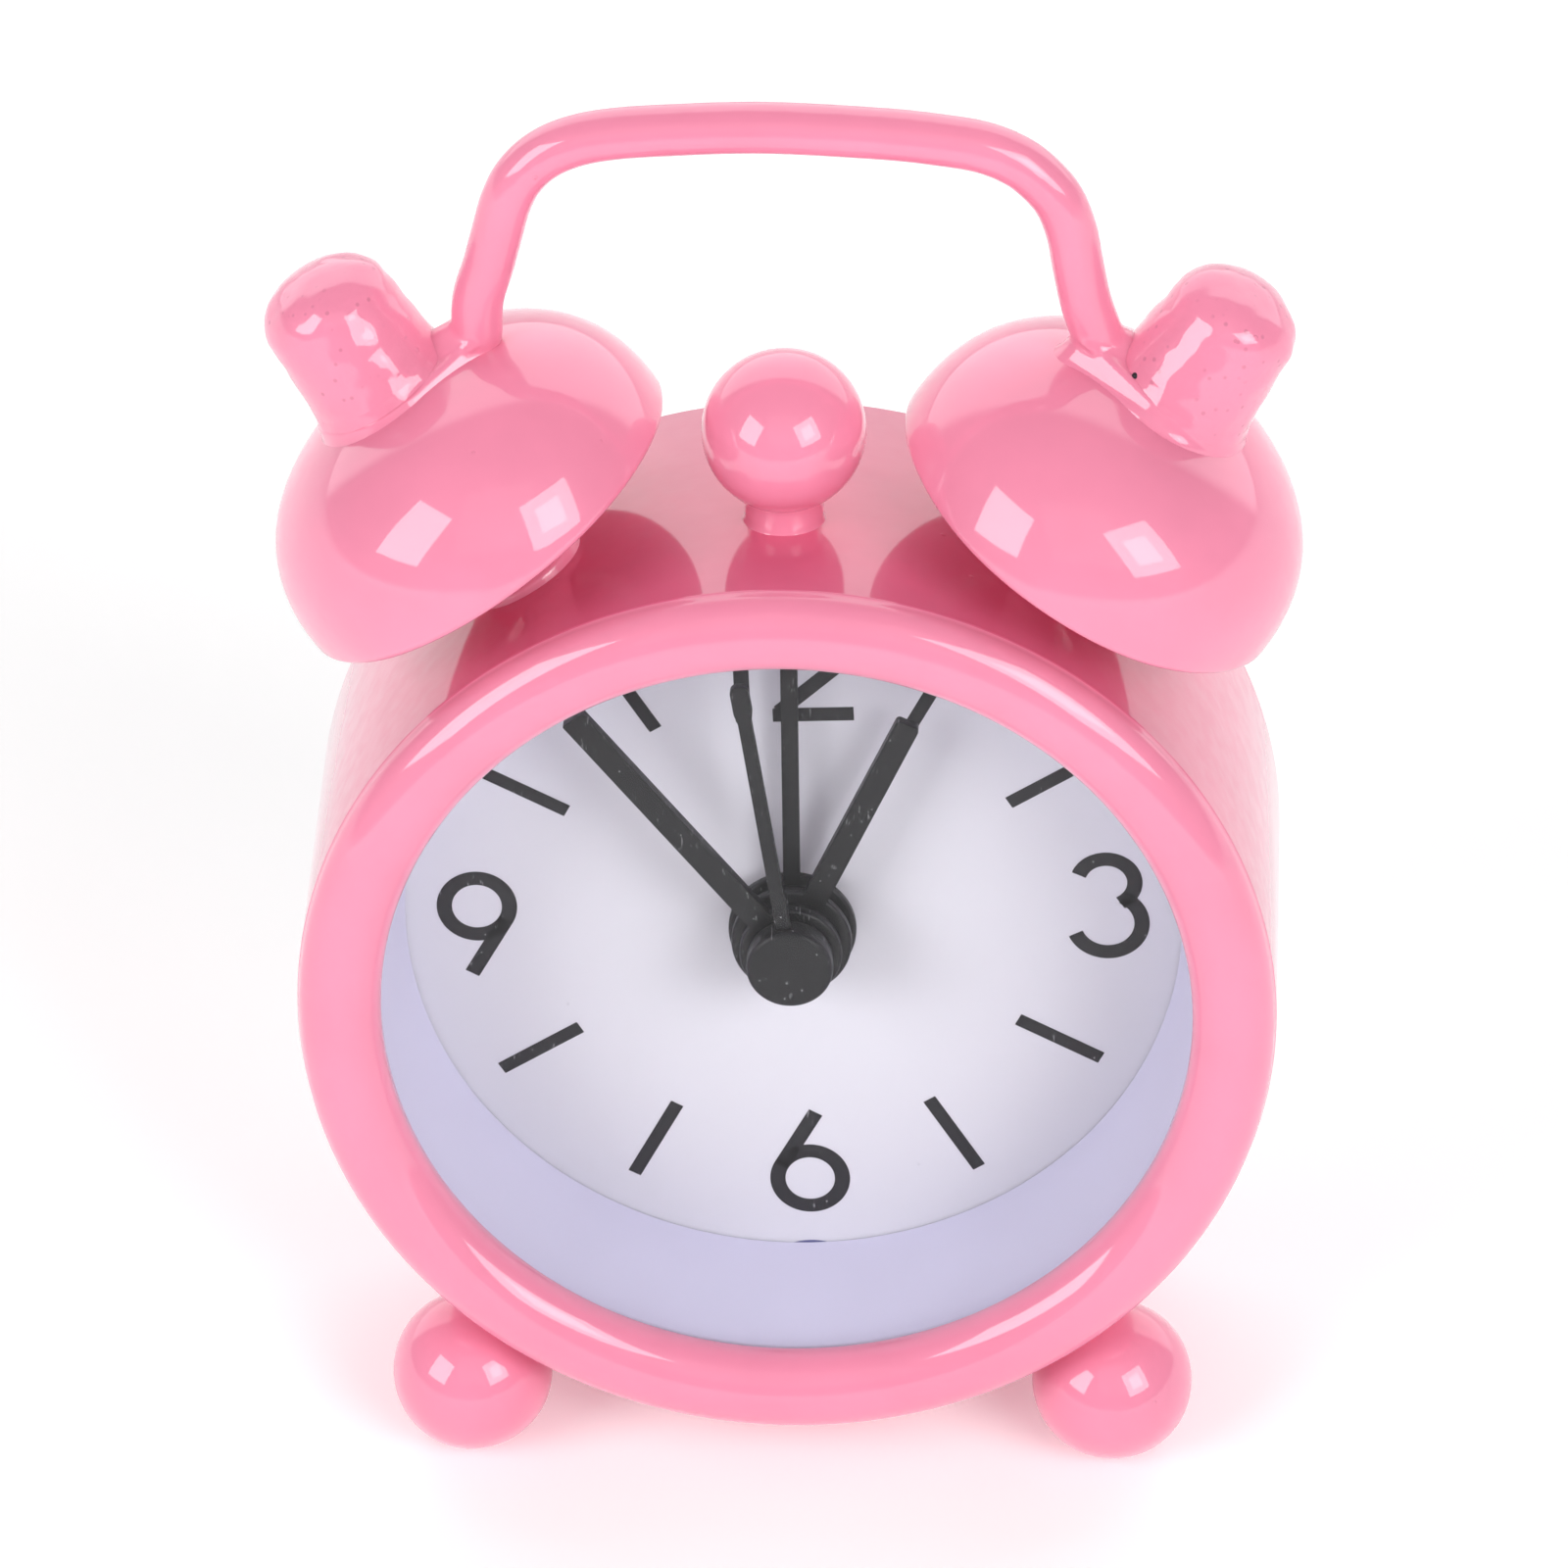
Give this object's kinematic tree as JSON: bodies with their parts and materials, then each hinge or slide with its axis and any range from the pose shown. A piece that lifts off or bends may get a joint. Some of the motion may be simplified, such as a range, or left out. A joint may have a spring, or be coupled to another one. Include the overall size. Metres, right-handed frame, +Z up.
{
  "type": "twin-bell alarm clock",
  "caption": "Small round twin-bell alarm clock with carrying handle, ball feet and finial, quartz movement and coaxial hands.",
  "frame": {"origin": "middle of the clock's footprint box, on the table it stands on", "axes": "+Z up, -Y towards the viewer of the dial, +X to the viewer's right; the drum leans back about 12 degrees"},
  "size_m": [0.0396, 0.0236, 0.0558],
  "materials": {
    "pink_enamel": "glossy pink enamel",
    "white_plastic": "satin white plastic",
    "black_plastic": "satin black plastic",
    "grey_plastic": "satin light grey plastic",
    "clear_lens": "clear polished window",
    "steel": "plain steel",
    "brass": "sprung brass",
    "copper_wire": "lacquered copper wire",
    "circuit_green": "solder-masked board",
    "wheel_plastic": "natural moulded plastic"
  },
  "bodies": {
    "root": {"alarm_contact_spring": "brass", "back_cover": "white_plastic", "back_screw_1": "steel", "back_screw_2": "steel", "back_screw_3": "steel", "back_screw_4": "steel", "battery_contact_negative": "brass", "battery_contact_positive": "brass", "battery_tray": "grey_plastic", "bell_knob_left": "pink_enamel", "bell_knob_right": "pink_enamel", "bell_left": "pink_enamel", "bell_post_left": "pink_enamel", "bell_post_nut_left": "steel", "bell_post_nut_right": "steel", "bell_post_right": "pink_enamel", "bell_right": "pink_enamel", "bezel_ring": "pink_enamel", "button_cell": "steel", "buzzer": "black_plastic", "case_shell": "pink_enamel", "circuit_board": "circuit_green", "coil": "copper_wire", "coil_core": "steel", "dial": "white_plastic", "dial_frame": "white_plastic", "foot_left": "pink_enamel", "foot_left_screw": "steel", "foot_right": "pink_enamel", "foot_right_screw": "steel", "handle": "pink_enamel", "lens": "clear_lens", "middle_plate": "grey_plastic", "movement_housing": "grey_plastic", "movement_rear_plate": "grey_plastic", "movement_screw_1": "steel", "movement_screw_2": "steel", "quartz_crystal": "steel", "stator": "steel", "top_ball": "pink_enamel", "top_ball_screw": "steel"},
    "seconds": {"second_hand": "black_plastic", "second_wheel": "wheel_plastic"},
    "rotor": {"rotor": "steel"},
    "intermediate": {"intermediate_wheel": "wheel_plastic"},
    "third": {"third_wheel": "wheel_plastic"},
    "centre": {"centre_wheel": "wheel_plastic"},
    "minutes": {"minute_hand": "black_plastic", "cannon_pinion": "wheel_plastic"},
    "minute_wheel": {"minute_wheel": "wheel_plastic"},
    "hours": {"hour_hand": "black_plastic", "hour_wheel": "wheel_plastic"},
    "time_knob": {"time_set_knob": "white_plastic"},
    "alarm": {"alarm_hand": "black_plastic", "alarm_wheel": "wheel_plastic"},
    "alarm_knob": {"alarm_set_knob": "white_plastic"},
    "switch": {"alarm_switch": "black_plastic"},
    "battery_door": {"battery_cover": "white_plastic"}
  },
  "joints": [
    {"name": "seconds_turn", "type": "hinge", "parent": "root", "child": "seconds", "pos_m": [0, 0.00414, 0.0192], "axis": [0, 0.9776, -0.2106], "continuous": true},
    {"name": "rotor_turn", "type": "hinge", "parent": "root", "child": "rotor", "pos_m": [0.00763, 0.00374, 0.01734], "axis": [0, 0.9776, -0.2106], "continuous": true},
    {"name": "intermediate_turn", "type": "hinge", "parent": "root", "child": "intermediate", "pos_m": [0.0046, 0.00383, 0.01775], "axis": [0, 0.9776, -0.2106], "continuous": true},
    {"name": "third_turn", "type": "hinge", "parent": "root", "child": "third", "pos_m": [-0.00018, 0.00516, 0.02395], "axis": [0, 0.9776, -0.2106], "continuous": true},
    {"name": "centre_turn", "type": "hinge", "parent": "root", "child": "centre", "pos_m": [0, 0.00414, 0.0192], "axis": [0, 0.9776, -0.2106], "continuous": true},
    {"name": "minutes_turn", "type": "hinge", "parent": "root", "child": "minutes", "pos_m": [0, 0.00414, 0.0192], "axis": [0, 0.9776, -0.2106], "continuous": true},
    {"name": "minute_wheel_turn", "type": "hinge", "parent": "root", "child": "minute_wheel", "pos_m": [-0.00347, 0.00381, 0.01769], "axis": [0, 0.9776, -0.2106], "continuous": true},
    {"name": "hours_turn", "type": "hinge", "parent": "root", "child": "hours", "pos_m": [0, 0.00414, 0.0192], "axis": [0, 0.9776, -0.2106], "continuous": true},
    {"name": "time_knob_turn", "type": "hinge", "parent": "root", "child": "time_knob", "pos_m": [-0.00479, 0.00456, 0.02117], "axis": [0, 0.9776, -0.2106], "continuous": true},
    {"name": "alarm_turn", "type": "hinge", "parent": "root", "child": "alarm", "pos_m": [0, 0.00414, 0.0192], "axis": [0, 0.9776, -0.2106], "continuous": true},
    {"name": "alarm_knob_turn", "type": "hinge", "parent": "root", "child": "alarm_knob", "pos_m": [0.00463, 0.00464, 0.02152], "axis": [0, 0.9776, -0.2106], "continuous": true},
    {"name": "switch_slide", "type": "slide", "parent": "root", "child": "switch", "axis": [0.9993, 0.0079, 0.0367], "range_m": [0, 0.0026]},
    {"name": "battery_door_lift", "type": "slide", "parent": "root", "child": "battery_door", "axis": [0, 0.9776, -0.2106], "range_m": [0, 0.008]}
  ],
  "couplings": [
    {"joint": "rotor_turn", "follows": "seconds_turn", "ratio": 30},
    {"joint": "intermediate_turn", "follows": "seconds_turn", "ratio": -6},
    {"joint": "third_turn", "follows": "seconds_turn", "ratio": -0.13333},
    {"joint": "centre_turn", "follows": "seconds_turn", "ratio": 0.016667},
    {"joint": "minute_wheel_turn", "follows": "minutes_turn", "ratio": -0.33333},
    {"joint": "hours_turn", "follows": "minutes_turn", "ratio": 0.083333},
    {"joint": "time_knob_turn", "follows": "minutes_turn", "ratio": 1},
    {"joint": "alarm_knob_turn", "follows": "alarm_turn", "ratio": -4}
  ]
}
